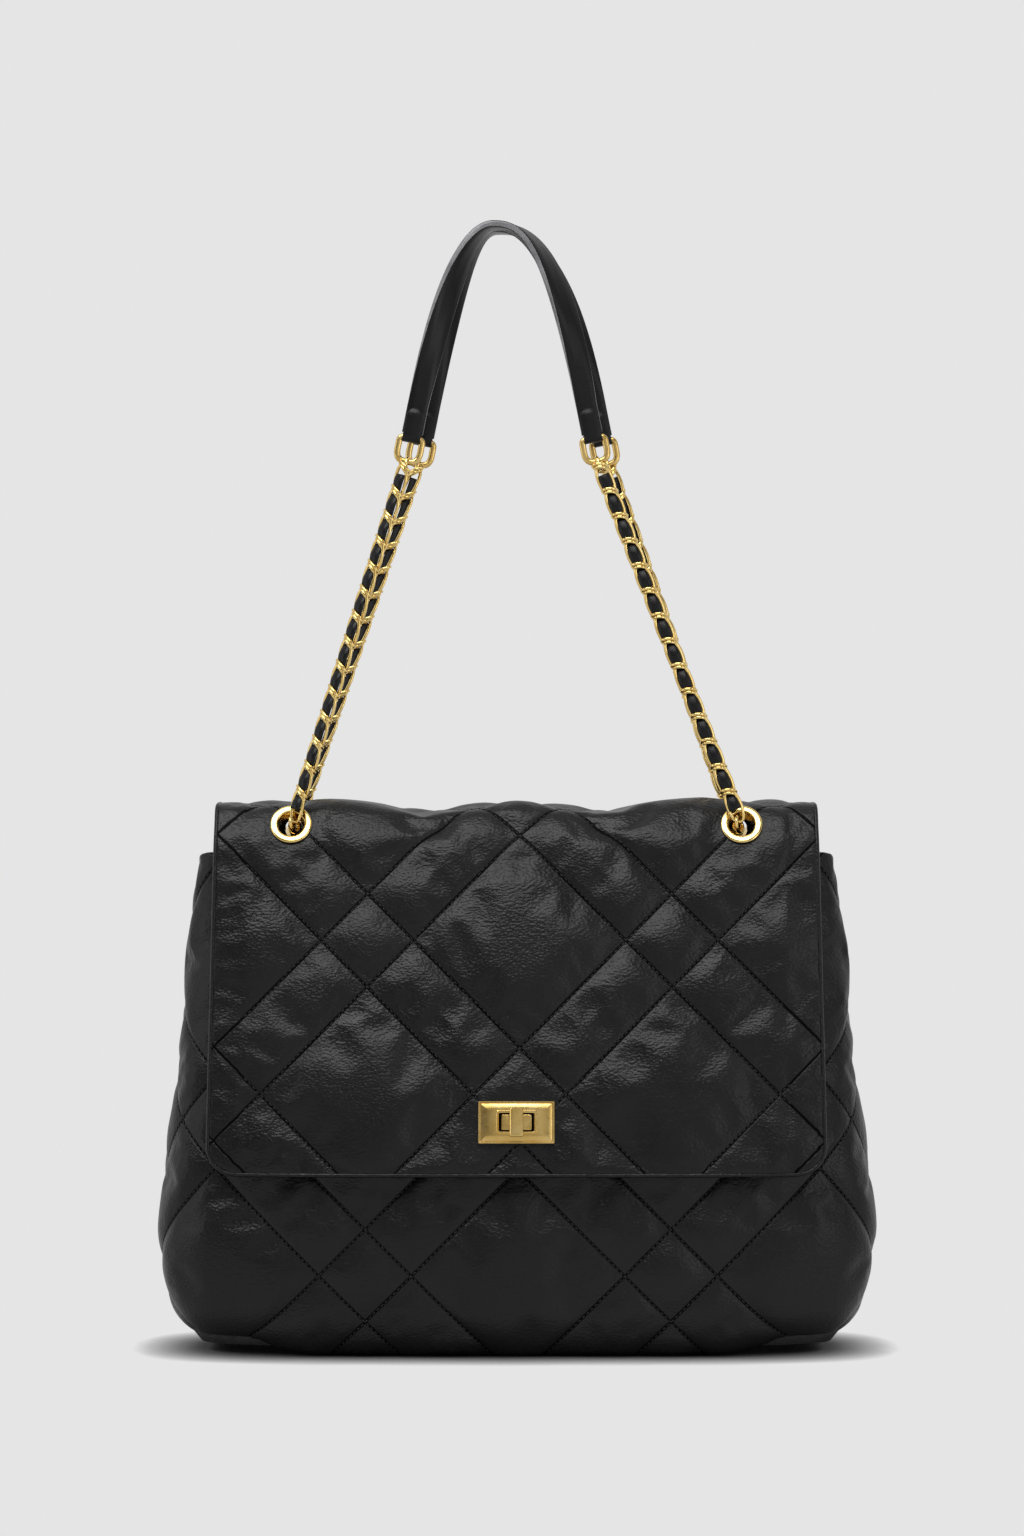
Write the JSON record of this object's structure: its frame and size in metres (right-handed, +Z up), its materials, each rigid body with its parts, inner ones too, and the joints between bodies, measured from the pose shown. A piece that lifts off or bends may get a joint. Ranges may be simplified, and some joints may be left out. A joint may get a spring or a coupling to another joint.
{
  "type": "quilted shoulder bag",
  "caption": "Black quilted leather shoulder bag with a turn-lock flap, eyelets, laced chains and two leather shoulder straps.",
  "frame": {"origin": "middle of the base, on the ground", "axes": "+Z up, the bag faces -Y, X runs across it"},
  "size_m": [0.3836, 0.1343, 0.5978],
  "materials": {
    "quilted_leather": "soft pebbled grain with a low sheen",
    "strap_leather": "smooth with painted edges",
    "lining_fabric": "plain twill",
    "stiffener_board": "plain",
    "brushed_gold": "plated, satin on the lock and polished on the chain"
  },
  "bodies": {
    "root": {"front_panel": "quilted_leather", "rear_panel": "quilted_leather", "base_panel": "quilted_leather", "base_board": "stiffener_board", "base_lining": "lining_fabric", "front_lining": "lining_fabric", "rear_lining": "lining_fabric", "front_mouth_facing": "strap_leather", "rear_mouth_facing": "strap_leather", "pocket_frame": "strap_leather", "zip_tape": "lining_fabric", "zip_teeth": "brushed_gold", "lock_post": "brushed_gold", "lock_inner_washer": "brushed_gold"},
    "flap": {"flap_cover": "quilted_leather", "flap_lining": "lining_fabric", "lock_frame": "brushed_gold", "lock_back_plate": "brushed_gold", "front_left_eyelet": "brushed_gold", "front_left_eyelet_washer": "brushed_gold", "front_right_eyelet": "brushed_gold", "front_right_eyelet_washer": "brushed_gold", "rear_left_eyelet": "brushed_gold", "rear_left_eyelet_washer": "brushed_gold", "rear_right_eyelet": "brushed_gold", "rear_right_eyelet_washer": "brushed_gold", "saddle_left_chain": "brushed_gold", "saddle_right_chain": "brushed_gold"},
    "knob": {"turn_knob": "brushed_gold", "knob_spindle": "brushed_gold", "spindle_head": "brushed_gold"},
    "zip": {"zip_slider": "brushed_gold", "zip_pull": "brushed_gold"},
    "front_chains": {"front_left_chain": "brushed_gold", "front_left_lace": "strap_leather", "front_right_chain": "brushed_gold", "front_right_lace": "strap_leather"},
    "rear_chains": {"rear_left_chain": "brushed_gold", "rear_left_lace": "strap_leather", "rear_right_chain": "brushed_gold", "rear_right_lace": "strap_leather"},
    "front_strap_set": {"front_strap": "strap_leather", "front_left_ring": "brushed_gold", "front_left_tab": "strap_leather", "front_right_ring": "brushed_gold", "front_right_tab": "strap_leather"},
    "rear_strap_set": {"rear_strap": "strap_leather", "rear_left_ring": "brushed_gold", "rear_left_tab": "strap_leather", "rear_right_ring": "brushed_gold", "rear_right_tab": "strap_leather"}
  },
  "joints": [
    {"name": "flap_hinge", "type": "hinge", "parent": "root", "child": "flap", "pos_m": [0, 0.03725, 0.2495], "axis": [-1, 0, 0], "range_deg": [0, 115]},
    {"name": "knob_turn", "type": "hinge", "parent": "root", "child": "knob", "pos_m": [0, -0.05678, 0.123], "axis": [0, -0.9903, 0.1388], "range_deg": [0, 90]},
    {"name": "zip_slide", "type": "slide", "parent": "root", "child": "zip", "axis": [1, 0, 0], "range_m": [0, 0.102]},
    {"name": "front_chain_swing", "type": "hinge", "parent": "flap", "child": "front_chains", "pos_m": [0, -0.03014, 0.28026], "axis": [-1, 0, 0], "range_deg": [-110, 0]},
    {"name": "front_strap_fold", "type": "hinge", "parent": "front_chains", "child": "front_strap_set", "pos_m": [0, -0.012, 0.47046], "axis": [-1, 0, 0], "range_deg": [-90, 0]},
    {"name": "rear_chain_swing", "type": "hinge", "parent": "flap", "child": "rear_chains", "pos_m": [0, 0.03014, 0.28025], "axis": [1, 0, 0], "range_deg": [-110, 0]},
    {"name": "rear_strap_fold", "type": "hinge", "parent": "rear_chains", "child": "rear_strap_set", "pos_m": [0, 0.012, 0.47046], "axis": [1, 0, 0], "range_deg": [-70, 0]}
  ]
}
